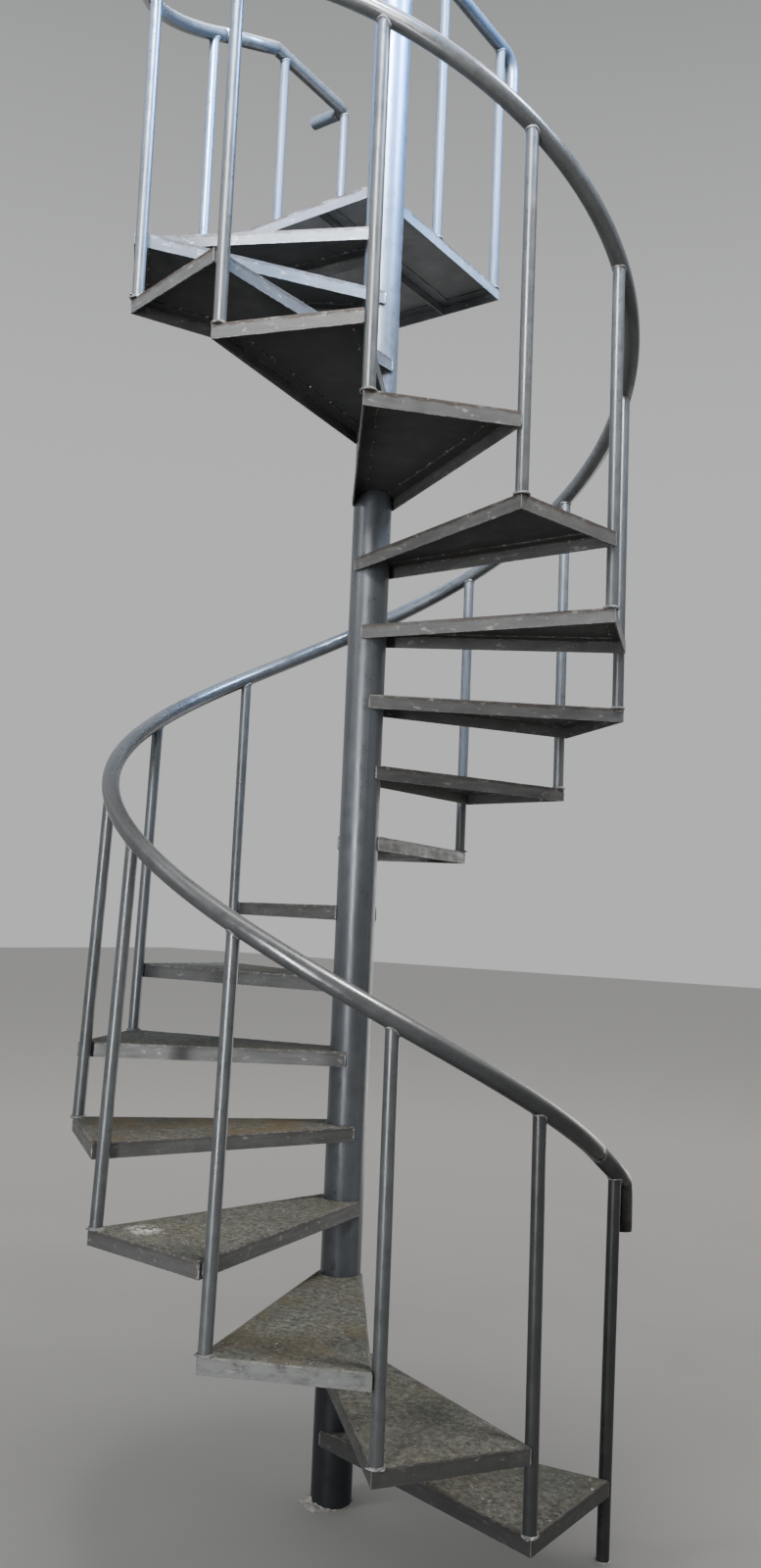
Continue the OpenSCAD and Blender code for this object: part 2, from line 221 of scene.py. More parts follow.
# Node helpers
class Tree:
    def __init__(self, tree):
        self.t = tree

    def put(self, n, key, value):
        s = n.inputs[key]
        if isinstance(value, bpy.types.NodeSocket):
            self.t.links.new(value, s)
        elif isinstance(value, tuple) and len(value) == 3 and s.type == "RGBA":
            s.default_value = (*value, 1.0)
        else:
            s.default_value = value

    def math(self, op, a, b=0.0, clamp=False):
        n = self.t.nodes.new("ShaderNodeMath")
        n.operation = op
        n.use_clamp = clamp
        self.put(n, 0, a)
        self.put(n, 1, b)
        return n.outputs[0]

    def mul(self, *values):
        out = values[0]
        for v in values[1:]:
            out = self.math("MULTIPLY", out, v)
        return out

    def add(self, *values):
        out = values[0]
        for v in values[1:]:
            out = self.math("ADD", out, v)
        return out

    def ramp(self, value, lo, hi, out_lo=0.0, out_hi=1.0):
        n = self.t.nodes.new("ShaderNodeMapRange")
        n.interpolation_type = "SMOOTHSTEP"
        n.clamp = True
        pairs = (("Value", value), ("From Min", lo), ("From Max", hi), ("To Min", out_lo), ("To Max", out_hi))
        for key, v in pairs:
            self.put(n, key, v)
        return n.outputs["Result"]

    def mix(self, fac, a, b):
        n = self.t.nodes.new("ShaderNodeMix")
        n.data_type = "RGBA"
        self.put(n, 0, fac)
        self.put(n, 6, a)
        self.put(n, 7, b)
        return n.outputs[2]

    def noise(self, vec, scale, detail=3.0, rough=0.5):
        n = self.t.nodes.new("ShaderNodeTexNoise")
        self.put(n, "Vector", vec)
        self.put(n, "Scale", scale)
        self.put(n, "Detail", detail)
        self.put(n, "Roughness", rough)
        return n.outputs["Fac"]

    def patches(self, vec, scale, lo, hi, detail=5.0, rough=0.62):
        return self.ramp(self.noise(vec, scale, detail, rough), lo, hi)

    def voronoi(self, vec, scale, out="Distance"):
        n = self.t.nodes.new("ShaderNodeTexVoronoi")
        self.put(n, "Vector", vec)
        self.put(n, "Scale", scale)
        return n.outputs[out]

    def scaled(self, vec, s, shift=(0.0, 0.0, 0.0)):
        n = self.t.nodes.new("ShaderNodeMapping")
        self.put(n, "Vector", vec)
        n.inputs["Scale"].default_value = s
        n.inputs["Location"].default_value = shift
        return n.outputs[0]

    def split(self, vec):
        n = self.t.nodes.new("ShaderNodeSeparateXYZ")
        self.put(n, 0, vec)
        return n.outputs

    def join(self, x, y, z):
        n = self.t.nodes.new("ShaderNodeCombineXYZ")
        for i, v in enumerate((x, y, z)):
            self.put(n, i, v)
        return n.outputs[0]

    def bump(self, height, strength, distance, normal=None):
        n = self.t.nodes.new("ShaderNodeBump")
        n.inputs["Strength"].default_value = strength
        n.inputs["Distance"].default_value = distance
        self.put(n, "Height", height)
        if normal is not None:
            self.put(n, "Normal", normal)
        return n.outputs[0]

    def normal(self):
        return self.t.nodes.new("ShaderNodeNewGeometry").outputs["Normal"]

    def outer_edge(self, radius):
        """1 on outer edges, from the bevel node's normal against the real one"""
        bev = self.t.nodes.new("ShaderNodeBevel")
        bev.samples = 4
        bev.inputs["Radius"].default_value = radius
        dot = self.t.nodes.new("ShaderNodeVectorMath")
        dot.operation = "DOT_PRODUCT"
        self.put(dot, 0, bev.outputs[0])
        self.put(dot, 1, self.normal())
        return self.ramp(dot.outputs["Value"], 0.995, 0.90)


# Materials
def new_material(name):
    m = bpy.data.materials.new(name)
    m.use_nodes = True
    t = m.node_tree
    t.nodes.clear()
    out = t.nodes.new("ShaderNodeOutputMaterial")
    b = t.nodes.new("ShaderNodeBsdfPrincipled")
    t.links.new(b.outputs[0], out.inputs[0])
    return m, Tree(t), b, t.nodes.new("ShaderNodeTexCoord").outputs["Object"]


def times(colour, k):
    return tuple(min(1.0, c * k) for c in colour)


def coil_coords(T, pos):
    """coordinates that run along the coiled rail, drawn out along its length"""
    x, y, z = T.split(pos)
    theta = T.math("ARCTAN2", y, x)
    r = T.math("SQRT", T.add(T.mul(x, x), T.mul(y, y)))
    w = T.add(z, T.mul(theta, RISER / STEP))
    return T.join(T.mul(theta, COIL_R * 1.8), T.mul(r, 62.0), T.mul(w, 62.0))


def run_coords(T, pos, lie):
    """coordinates drawn out along an upright pipe, the coiled rail or a level bar"""
    if lie == "upright":
        return T.scaled(pos, (66.0, 66.0, 1.1))
    if lie == "coil":
        return coil_coords(T, pos)
    return T.scaled(pos, (9.0, 9.0, 70.0))


def rim_dirt(T, pos, normal, col, rusty):
    """dirt and rust on the plate's edge and the bar's top corner, with stains and chalk below, and painted
    shade on the lowest bars
    """
    z = T.split(pos)[2]
    riser_mm = RISER * MM
    f = T.mul(T.math("FRACT", T.math("DIVIDE", T.add(z, 0.0001), RISER)), riser_mm)
    side = T.ramp(T.math("ABSOLUTE", normal[2]), 0.75, 0.45)
    height = T.ramp(z, 1.4, 3.2, 0.35, 1.0)
    ragged = T.add(f, T.mul(T.noise(pos, 30.0, 6.0, 0.75), 24.0))
    band = T.mul(T.ramp(ragged, riser_mm, riser_mm + 2.0), T.ramp(f, riser_mm + 0.2, riser_mm - 0.4))
    band = T.mul(band, side, height)
    dark_line = T.mul(band, T.patches(T.scaled(pos, (1.0, 1.0, 2.4)), 17.0, 0.36, 0.52, 6.0, 0.7))
    col = T.mix(T.mul(dark_line, 0.93), col, RIM_DIRT)
    drip = T.ramp(T.noise(T.scaled(pos, (120.0, 120.0, 7.0)), 1.0, 4.0, 0.6), 0.60, 0.70)
    drip = T.mul(drip, T.ramp(f, riser_mm - 37.0, riser_mm - 5.0), T.patches(pos, 13.0, 0.45, 0.60))
    stain = T.patches(T.scaled(pos, (1.0, 1.0, 0.5)), 40.0, 0.60, 0.70, 6.0, 0.7)
    stain = T.mul(T.math("MAXIMUM", stain, drip), side, height)
    col = T.mix(T.mul(stain, 0.65), col, STAIN)
    pale = T.mul(T.patches(T.scaled(pos, (1.0, 1.0, 2.0), (4.0, 1.0, 2.0)), 30.0, 0.60, 0.68), side)
    col = T.mix(T.mul(pale, 0.45), col, CHALK)
    # painted shade: the lowest bars are darkened, standing in for the shade under the treads above
    col = T.mix(T.ramp(z, 0.52, 0.34, 0.0, 0.55), col, LOW_SHADE)
    return col, T.math("MAXIMUM", rusty, T.mul(dark_line, 0.12))


def band_sheen(T, pos, normal, col):
    """painted highlight: one tread's front band is lightened in patches, standing in for a sheen of light on
    it
    """
    a = tread_angle(SHEEN_TREAD)
    facing = T.add(T.mul(normal[0], math.cos(a)), T.mul(normal[1], math.sin(a)))
    off = T.math("ABSOLUTE", T.add(T.split(pos)[2], SHEEN_DOWN - SHEEN_TREAD * RISER))
    band = T.mul(T.ramp(facing, 0.90, 0.97), T.ramp(off, 0.045, 0.035))
    sheen_patches = T.mul(band, T.patches(T.scaled(pos, (1.0, 1.0, 2.2)), 19.0, 0.28, 0.56, 6.0, 0.7))
    return T.mix(T.mul(sheen_patches, 0.7), col, BAND_SHEEN_COLOUR)


def enamel_relief(T, pos, run, bare, relief):
    """the unevenness of brushed paint, and the step where it has come off"""
    n1 = T.bump(T.noise(pos, 40.0, 3.0, 0.5), 0.25 * relief, 0.0011)
    n2 = T.bump(run, 0.30 * relief, 0.00035, n1)
    n3 = T.bump(T.noise(pos, 430.0, 2.0, 0.5), 0.30 * relief ** 2, 0.00020, n2)
    return T.bump(T.math("SUBTRACT", 1.0, bare), 0.4 * relief, 0.0003, n3)


def paint(name, base, rough=0.32, metal=0.4, dust=0.3, rust=0.3, lie="upright", under_shade=0.0, rim=False, rub_and_highlight=0.0,
          relief=1.0, streak=1.0, entry_shade=0.0, foot=0.0, sky_tint=0.0, gloss=0.5):
    """dark enamel on steel: runs and wipe marks along its length, dust, chips and rust at edges"""
    m, T, b, pos = new_material(name)
    normal = T.split(T.normal())
    nz = normal[2]
    x, y, z = T.split(pos)
    along = run_coords(T, pos, lie)
    run = T.noise(along, 1.0, 5.0, 0.62)
    run2 = T.noise(T.scaled(along, (0.55, 0.55, 0.55), (3.1, 1.7, 0.4)), 1.0, 3.0, 0.5)
    mid = T.noise(pos, 21.0, 5.0, 0.62)
    fine = T.noise(pos, 170.0, 4.0, 0.65)
    big = T.noise(pos, 2.3, 4.0, 0.55)
    tone = T.add(T.ramp(big, 0.3, 0.7, 0.0, 0.28), T.ramp(mid, 0.3, 0.7, 0.0, 0.22))
    tone = T.add(tone, T.ramp(fine, 0.3, 0.7, 0.0, 0.16), T.ramp(run, 0.32, 0.68, 0.0, 0.34))
    col = T.mix(tone, times(base, 0.62), times(base, 1.45))
    col = T.mix(T.ramp(run2, 0.56, 0.74, 0.0, 0.4 * streak), col, times(base, 0.5))
    col = T.mix(T.ramp(run, 0.60, 0.78, 0.0, 0.40 * streak), col, times(base, 2.4))
    if entry_shade:
        # painted shade: the first posts and the rail's end are darkened, standing in for the shade by the
        # stair's entry
        entry_shade_mask = T.mul(T.ramp(y, -0.80, 0.05), T.ramp(x, 0.10, 0.45), T.ramp(z, 1.75, 1.25))
        col = T.mix(T.mul(entry_shade_mask, entry_shade), col, ENTRY_SHADE)
    if sky_tint:
        # painted reflection: the topmost metal is made bluer, standing in for the open sky reflected in it
        col = T.mix(T.ramp(z, 3.3, 4.1, 0.0, sky_tint), col, SKY_REFLECTION_BLUE)
    if foot:
        # the pole's paint darkens towards its foot
        col = T.mix(T.ramp(z, 0.56, 0.30, 0.0, foot), col, POLE_FOOT_DARK)
    if rub_and_highlight:
        # the upper side is lightened in long streaks: partly rubbed pale by hands, partly a painted highlight
        # along the top
        hand_and_highlight = T.mul(T.ramp(nz, 0.22, 0.72), T.ramp(run, 0.36, 0.60, 0.65, 1.0), rub_and_highlight)
        col = T.mix(hand_and_highlight, col, HAND_WEAR_AND_HIGHLIGHT)
    # painted shade: undersides are darkened, as they see little light
    shade = T.ramp(nz, -0.30, -0.85)
    col = T.mix(T.mul(shade, under_shade), col, UNDER_SHADE)
    # pale dust on what faces up
    dusty = T.mul(T.ramp(nz, 0.25, 0.95), T.patches(pos, 9.0, 0.36, 0.66), dust)
    col = T.mix(dusty, col, DUST)
    # outer edges wear to bare metal, then rust
    edge = T.outer_edge(WORN_EDGE)
    worn = T.mul(edge, T.patches(pos, 60.0, 0.47, 0.58, 5.0, 0.7))
    col = T.mix(T.mul(worn, 0.85), col, BARE_METAL)
    speck = T.mul(T.ramp(T.voronoi(pos, 120.0), 0.15, 0.05), T.patches(pos, 11.0, 0.61, 0.72))
    edge_rust = T.mul(edge, T.patches(pos, 34.0, 0.55, 0.64, 5.0, 0.7), 1.4)
    rusty = T.mul(T.math("MAXIMUM", speck, edge_rust), rust)
    if rim:
        col, rusty = rim_dirt(T, pos, normal, col, rusty)
        col = band_sheen(T, pos, normal, col)
    rusty = T.math("MINIMUM", rusty, 1.0)
    rust_col = T.mix(T.noise(pos, 120.0, 3.0, 0.6), RUST_DARK, RUST_LIGHT)
    col = T.mix(rusty, col, rust_col)
    T.put(b, "Base Color", col)
    r = T.add(T.ramp(run, 0.3, 0.7, rough + 0.09, rough - 0.07), T.ramp(mid, 0.3, 0.7, -0.04, 0.08))
    r = T.add(r, T.mul(dusty, 0.4), T.mul(rusty, 0.45), T.mul(shade, 0.45 * min(1.0, under_shade * 1.4)))
    T.put(b, "Roughness", T.math("MINIMUM", r, 0.95))
    b.inputs["Metallic"].default_value = metal
    b.inputs["Specular IOR Level"].default_value = gloss
    T.put(b, "Normal", enamel_relief(T, pos, run, T.math("MAXIMUM", worn, rusty), relief))
    return m


def grit(name):
    """the rough grey coat of the treads, with tracked-in dirt"""
    m, T, b, pos = new_material(name)
    cell = T.split(T.voronoi(pos, 120.0, "Color"))[0]
    cell2 = T.split(T.voronoi(T.scaled(pos, (1.0, 1.0, 1.0), (0.4, 0.2, 0.1)), 78.0, "Color"))[1]
    fine = T.noise(pos, 430.0, 4.0, 0.72)
    lumps = T.noise(pos, 62.0, 7.0, 0.76)
    mid = T.noise(pos, 24.0, 6.0, 0.68)
    big = T.noise(pos, 3.6, 5.0, 0.6)
    z = T.split(pos)[2]
    tone = T.add(T.mul(cell, 0.26), T.ramp(lumps, 0.40, 0.60, 0.0, 0.56), T.ramp(fine, 0.3, 0.7, 0.0, 0.22))
    col = T.mix(tone, (0.014, 0.015, 0.013), (0.185, 0.190, 0.166))
    col = T.mix(T.ramp(mid, 0.42, 0.62, 0.0, 0.42), col, (0.100, 0.101, 0.086))
    # brown dust, more of it on two of the treads
    more = [T.ramp(T.math("ABSOLUTE", T.math("SUBTRACT", z, k * RISER)), 0.10, 0.05, 0.0, much)
            for k, much in BROWN_TREADS]
    brown = T.patches(T.scaled(pos, (1.0, 1.0, 1.0), (7.0, 2.0, 0.0)), 6.0, 0.40, 0.64, 6.0, 0.68)
    brown = T.mul(brown, T.add(0.26, *more))
    col = T.mix(T.math("MINIMUM", brown, 0.9), col, (0.118, 0.088, 0.049))
    col = T.mix(T.ramp(big, 0.50, 0.70, 0.0, 0.40), col, (0.062, 0.066, 0.061))
    # dark pits, pale grains, and a few drops of white paint
    pit = T.mul(T.ramp(cell2, 0.80, 0.90), T.ramp(T.voronoi(pos, 92.0), 0.30, 0.12))
    col = T.mix(T.mul(pit, 0.9), col, (0.010, 0.010, 0.009))
    grain = T.mul(T.ramp(cell, 0.86, 0.92), T.ramp(T.voronoi(pos, 120.0), 0.42, 0.2))
    col = T.mix(T.mul(grain, 0.75), col, (0.27, 0.265, 0.24))
    drop = T.ramp(T.voronoi(T.scaled(pos, (1.0, 1.0, 1.0), (0.3, 0.9, 0.0)), 24.0), 0.105, 0.06)
    drop = T.mul(drop, T.patches(pos, 2.1, 0.57, 0.62, 3.0))
    # and one splash of it, on the fourth tread
    far = T.t.nodes.new("ShaderNodeVectorMath")
    far.operation = "DISTANCE"
    T.put(far, 0, pos)
    far.inputs[1].default_value = SPLASH_AT
    splash = T.mul(T.ramp(far.outputs["Value"], 0.060, 0.015), T.patches(pos, 75.0, 0.47, 0.54, 4.0))
    col = T.mix(T.mul(T.math("MAXIMUM", drop, splash), 0.85), col, (0.62, 0.62, 0.59))
    T.put(b, "Base Color", col)
    T.put(b, "Roughness", T.ramp(mid, 0.3, 0.7, 0.74, 0.96))
    b.inputs["Specular IOR Level"].default_value = 0.25
    n1 = T.bump(mid, 0.4, 0.0022)
    n2 = T.bump(lumps, 0.8, 0.0022, n1)
    n3 = T.bump(T.add(fine, T.mul(cell, 0.5)), 0.7, 0.0009, n2)
    T.put(b, "Normal", n3)
    return m


def weld_metal(name):
    """weld beads, painted over once and chalky since"""
    m, T, b, pos = new_material(name)
    n = T.noise(pos, 210.0, 5.0, 0.7)
    col = T.mix(T.ramp(n, 0.3, 0.7), (0.060, 0.061, 0.063), (0.19, 0.19, 0.186))
    col = T.mix(T.mul(T.patches(pos, 26.0, 0.60, 0.70), 0.6), col, (0.090, 0.046, 0.022))
    col = T.mix(T.mul(T.patches(pos, 52.0, 0.54, 0.66), 0.7), col, (0.42, 0.415, 0.40))
    T.put(b, "Base Color", col)
    T.put(b, "Roughness", T.ramp(n, 0.3, 0.7, 0.38, 0.62))
    b.inputs["Metallic"].default_value = 0.25
    T.put(b, "Normal", T.bump(n, 0.6, 0.0005))
    return m


def mortar(name):
    m, T, b, pos = new_material(name)
    n = T.noise(pos, 130.0, 6.0, 0.7)
    col = T.mix(T.ramp(n, 0.3, 0.7), (0.17, 0.165, 0.15), (0.43, 0.42, 0.395))
    col = T.mix(T.mul(T.patches(pos, 24.0, 0.5, 0.68), 0.6), col, (0.16, 0.138, 0.11))
    T.put(b, "Base Color", col)
    b.inputs["Roughness"].default_value = 0.95
    T.put(b, "Normal", T.bump(n, 0.8, 0.0015))
    return m


POLE_PAINT = paint("pole_enamel", (0.075, 0.082, 0.091), rough=0.33, metal=0.42, dust=0.2, rust=0.25,
                   relief=0.6, streak=0.8, foot=0.85, sky_tint=0.5)
PIPE_PAINT = paint("pipe_enamel", (0.088, 0.094, 0.098), rough=0.32, metal=0.5, dust=0.2, rust=0.2,
                   relief=0.5, streak=0.6, entry_shade=0.78, sky_tint=0.3)
# painted shade: the landing posts get a darker, duller copy of the pipe enamel, standing in for less light
# falling on them
SHADED_POST_PAINT = paint("post_enamel_shaded", (0.040, 0.044, 0.048), rough=0.42, metal=0.08, dust=0.1, rust=0.2,
                   relief=0.5, streak=0.6, sky_tint=0.15, gloss=0.16)
RAIL_PAINT = paint("rail_enamel", (0.078, 0.082, 0.085), rough=0.27, metal=0.55, dust=0.1, rust=0.15,
                   lie="coil", rub_and_highlight=0.8, relief=0.3, streak=0.5, entry_shade=0.7)
BAR_PAINT = paint("bar_enamel", (0.062, 0.063, 0.062), rough=0.44, metal=0.2, dust=0.6, rust=0.5,
                  lie="level", under_shade=0.70, rim=True)
# painted light: the landing gets a lighter copy of the bar enamel, with no darkened undersides, standing in
# for the light bounced up onto its underside
LIT_LANDING_PAINT = paint("landing_enamel_lit", (0.098, 0.105, 0.113), rough=0.45, metal=0.2, dust=0.6, rust=0.5,
                   lie="level", under_shade=0.0, rim=True)
GRIT = grit("tread_grit")
WELD = weld_metal("weld_beads")
MORTAR = mortar("foot_mortar")


# Mesh helpers
def piece(name, verts, faces, material):
    me = bpy.data.meshes.new(name)
    me.from_pydata([tuple(v) for v in verts], [], faces)
    me.validate()
    me.update()
    me.materials.append(material)
    me.shade_smooth()
    ob = bpy.data.objects.new(name, me)
    scene.collection.objects.link(ob)
    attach(ob, "root")
    return ob


def ring(c, t, side, r, n):
    out = (side - side.dot(t) * t).normalized()
    up = out.cross(t)
    turns = [2 * math.pi * j / n for j in range(n)]
    return [c + r * (math.cos(a) * out + math.sin(a) * up) for a in turns]


def loft(rings, base=0):
    n = len(rings[0])
    faces = []
    for i in range(len(rings) - 1):
        for j in range(n):
            a, b = base + i * n + j, base + i * n + (j + 1) % n
            faces.append((a, b, b + n, a + n))
    return [p for r in rings for p in r], faces


class Beads:
    """collects lumpy weld beads into one mesh"""

    def __init__(self, seed):
        self.v, self.f = [], []
        self.rnd = random.Random(seed)

    def run(self, path, r, closed=False, pitch=0.0032, sides=8):
        n = len(path)
        base = len(self.v)
        phase = self.rnd.random() * 6.28
        shift = Vector((self.rnd.random() * 100, 0, 0))
        total = 0.0
        for i in range(n):
            a = path[(i - 1) % n] if closed or i > 0 else path[0]
            b = path[(i + 1) % n] if closed or i < n - 1 else path[-1]
            t = b - a
            t = t.normalized() if t.length > 1e-9 else UP
            if i:
                total += (path[i] - path[i - 1]).length
            side = UP if abs(t.z) < 0.9 else Vector((1, 0, 0))
            size = 0.92 + 0.16 * abs(math.sin(math.pi * total / pitch + phase))
            size *= 1.0 + 0.35 * noise.noise(path[i] * 90 + shift)
            if not closed:
                size *= (0.55, 0.85, 1.0)[min(i, n - 1 - i, 2)]
            for p in ring(path[i], t, side, r * size, sides):
                self.v.append(p + 0.12 * r * noise.noise_vector(p * 400))
        for i in range(n if closed else n - 1):
            for j in range(sides):
                a, b = i * sides + j, i * sides + (j + 1) % sides
                c, d = ((i + 1) % n) * sides + (j + 1) % sides, ((i + 1) % n) * sides + j
                self.f.append((base + a, base + b, base + c, base + d))
        if not closed:
            self.f.append(tuple(base + j for j in range(sides - 1, -1, -1)))
            self.f.append(tuple(base + (n - 1) * sides + j for j in range(sides)))

    def line(self, a, b, r, step=0.0016, **kw):
        n = max(3, int((b - a).length / step))
        self.run([a.lerp(b, i / n) for i in range(n + 1)], r, **kw)

    def blob(self, c, r, nrm, rise=0.55):
        """a tack weld: a low lump on a face"""
        base = len(self.v)
        side = UP if abs(nrm.z) < 0.9 else Vector((1, 0, 0))
        u = side.cross(nrm).normalized()
        w = nrm.cross(u)
        rows, cols = 4, 10
        for i in range(rows):
            e = math.pi / 2 * i / rows
            for j in range(cols):
                a = 2 * math.pi * j / cols
                out = math.cos(a) * u + math.sin(a) * w
                rr = r * math.cos(e) * (1 + 0.3 * noise.noise(c * 70 + out))
                self.v.append(c + rr * out + nrm * (r * rise * math.sin(e) - 0.0006))
        self.v.append(c + nrm * (r * rise - 0.0006))
        for i in range(rows - 1):
            for j in range(cols):
                a, b = base + i * cols + j, base + i * cols + (j + 1) % cols
                self.f.append((a, b, b + cols, a + cols))
        top = base + (rows - 1) * cols
        for j in range(cols):
            self.f.append((top + j, top + (j + 1) % cols, base + rows * cols))

    def make(self, name):
        return piece(name, self.v, self.f, WELD)


# CAD nodes: their finish, and softened edges on bars and plates
def soften(ob, width):
    w = ob.modifiers.new("join", "WELD")
    w.merge_threshold = 0.00001
    bv = ob.modifiers.new("edge", "BEVEL")
    bv.width = width
    bv.segments = 2
    bv.limit_method = "ANGLE"
    bv.angle_limit = math.radians(35.0)


def dress_nodes():
    for name, ob in nodes.items():
        width = 0.0
        if name.startswith("tread_"):
            mat, width = BAR_PAINT, SOFT_EDGE
        elif name in ("landing_frame", "landing_stiffener", "landing_plate"):
            mat, width = LIT_LANDING_PAINT, SOFT_EDGE
        elif name.startswith("landing_posts"):
            mat = SHADED_POST_PAINT
        elif name in ("centre_pole", "pole_cap"):
            mat = POLE_PAINT
        elif name == "step_coats":
            mat = GRIT
        else:
            mat = PIPE_PAINT
        ob.data.materials.clear()
        ob.data.materials.append(mat)
        if width:
            soften(ob, width)


# Handrail, swept round and smooth
def bent_axis(points, r, step=5.0):
    out = [(points[0], (points[1] - points[0]).normalized())]
    for i in range(1, len(points) - 1):
        u = (points[i] - points[i - 1]).normalized()
        v = (points[i + 1] - points[i]).normalized()
        turn = math.acos(max(-1, min(1, u.dot(v))))
        nn = (v - u.dot(v) * u).normalized()
        c = points[i] - r * math.tan(turn / 2) * u + r * nn
        last = max(2, math.ceil(math.degrees(turn) / step))
        for k in range(last + 1):
            a = turn * k / last
            out.append((c + r * (math.sin(a) * u - math.cos(a) * nn), math.cos(a) * u + math.sin(a) * nn))
    out.append((points[-1], (points[-1] - points[-2]).normalized()))
    return out


def hollow_pipe(name, axis, sides, node):
    n = PIPE_SIDES
    verts, faces = loft([ring(c, t, sd, RAIL_R, n) for (c, t), sd in zip(axis, sides)])
    base = len(verts)
    inner, f2 = loft([ring(c, t, sd, RAIL_R - RAIL_WALL, n) for (c, t), sd in zip(axis, sides)], base)
    faces += [tuple(reversed(f)) for f in f2]
    end = (len(axis) - 1) * n
    for j in range(n):
        k = (j + 1) % n
        faces.append((k, j, base + j, base + k))
        faces.append((end + j, end + k, base + end + k, base + end + j))
    ob = piece(name, verts + inner, faces, RAIL_PAINT)
    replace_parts(ob, node)
    return ob


def sweep_rails():
    coil = [COIL_FROM + (COIL_TO - COIL_FROM) * i / COIL_CUTS for i in range(COIL_CUTS + 1)]
    hollow_pipe("handrail_coil", [(rail_point(s), rail_way(s)) for s in coil],
                [round_about(baluster_angle(s)) for s in coil], "handrail")

    tail_corner = TAIL_START + RAIL_TAIL * TAIL_WAY
    ax = bent_axis([TAIL_START, tail_corner, tail_corner - TAIL_LEG * UP], ELBOW_R)
    hollow_pipe("handrail_tail", ax, [round_about(baluster_angle(COIL_FROM))] * len(ax), "handrail_end")

    ax = bent_axis([rail_point(COIL_TO), Vector((LEFT_X, BEND_Y, GUARD_Z)), RAIL_CORNER, RAIL_END], ELBOW_R)
    ax = [(rail_point(COIL_TO), rail_way(COIL_TO))] + ax[1:-1]
    hollow_pipe("landing_rail_swept", ax, [UP] * len(ax), "landing_rail_left")


# Coats of the treads and the landing, with a ragged border and an uneven face
def lumps(p):
    return 0.0005 * noise.noise(p * 26) + 0.00045 * noise.noise(p * 75) + 0.0003 * noise.noise(p * 190)


class Coat:
    def __init__(self):
        self.v, self.f = [], []

    def grid(self, nu, nv, fn):
        base = len(self.v)
        for i in range(nu + 1):
            for j in range(nv + 1):
                self.v.append(fn(i / nu, j / nv * 2 - 1, i in (0, nu), j in (0, nv)))
        for i in range(nu):
            for j in range(nv):
                q = base + i * (nv + 1) + j
                self.f.append((q, q + 1, q + nv + 2, q + nv + 1))

    def tread(self, k):
        def at(u, v, end, border):
            x_in = math.sqrt(COAT_R * COAT_R - (v * COAT_INNER_HALF) ** 2)
            d = INSET + COAT_IN
            x = x_in + (REACH - d - x_in) * u
            y = v * half_at(x, d)
            p = tread_point(k, x, y, k * RISER)
            rag = RAG_NOISE * noise.noise(p * 55) + 0.0012 * noise.noise(p * 160)
            if end and u > 0.5:
                x -= COAT_RAG + rag
            if border:
                y -= math.copysign(COAT_RAG + rag, v)
            low = -COAT - COAT_SINK if end or border else lumps(p)
            return tread_point(k, x, y, k * RISER + low)

        self.grid(*TREAD_GRID, at)

    def landing(self):
        def at(u, v, end, border):
            d = INSET + COAT_IN + COAT_RAG
            x = LAND_X0 + d + (LAND_W - 2 * d) * u
            p = Vector((x, LAND_Y0 + d + (LAND_D - 2 * d) * (v + 1) / 2, TOP))
            rag = RAG_NOISE * noise.noise(p * 55)
            low = -COAT - COAT_SINK if end or border else lumps(p)
            # the near right corner is cut round the pole
            away = Vector((p.x, p.y, 0))
            if away.length < COAT_R + 0.0005:
                return Vector((*(away.normalized() * COAT_R).xy, TOP + min(low, 0.0)))
            return p + Vector((rag if end else 0.0, rag if border else 0.0, low))

        self.grid(*LANDING_GRID, at)

    def make(self, name):
        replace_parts(piece(name, self.v, self.f, GRIT), "step_coats")


def lay_coats():
    for part, ks in THIRDS:
        coat = Coat()
        for k in ks:
            coat.tread(k)
        coat.make("tread_toppings_" + part)
    coat = Coat()
    coat.landing()
    coat.make("landing_topping")


# Welds
def circle(c, r, n, z):
    return [Vector((c[0], c[1], z)) + round_about(2 * math.pi * i / n, r) for i in range(n)]


def saddle(foot, top, way):
    """the line where a post that runs from foot to top meets the rail through top"""
    a = (top - foot).normalized()
    out = []
    for q in ring(top, a, Vector((1, 0, 0)), BAL_R + 0.0004, SADDLE_CUTS):
        d = q - top
        qa = 1 - a.dot(way) ** 2
        qb = 2 * (d.dot(a) - d.dot(way) * a.dot(way))
        qc = d.dot(d) - d.dot(way) ** 2 - (RAIL_R + 0.0002) ** 2
        out.append(q + a * ((-qb - math.sqrt(max(qb * qb - 4 * qa * qc, 0.0))) / (2 * qa)))
    return out


def weld_balusters():
    for part, ks in THIRDS:
        w = Beads(11 + len(part))
        for k in ([0] if part == "lower" else []) + list(ks):
            foot, top = post_line(k)
            if k:
                w.run(circle(foot, BAL_R + 0.0010, FOOT_CUTS, foot.z + 0.0024), FOOT_BEAD, closed=True)
                w.run(circle(foot, BAL_R + 0.0022, FOOT_CUTS, foot.z + 0.0008), FOOT_BEAD_LOW, closed=True)
                for i in range(4):
                    a = w.rnd.uniform(0, 6.28)
                    w.blob(foot + round_about(a, BAL_R + 0.0035, 0.0006), w.rnd.uniform(0.004, 0.007), UP)
            w.run(saddle(foot, top, rail_way(k) if k else TAIL_WAY), SADDLE_BEAD, closed=True)
            if k < COUNT:
                # where the post runs past the next tread's side bar
                beta = tread_angle(k + 1) + FLARE
                nrm = Vector((-math.sin(beta), math.cos(beta), 0))
                z1 = (k + 1) * RISER - FRAME_DOWN
                c = foot.lerp(top, (z1 - 0.02 - foot.z) / (top.z - foot.z)) - nrm * (BAL_R - 0.0006)
                for off in (-POST_SIDE_OFF, POST_SIDE_OFF):
                    at = Vector((c.x, c.y, 0)) + round_about(beta, off)
                    w.line(at + UP * (z1 - LEG + 0.003), at + UP * (z1 - 0.001), POST_SIDE_BEAD)
        w.make("welds_balusters_" + part)


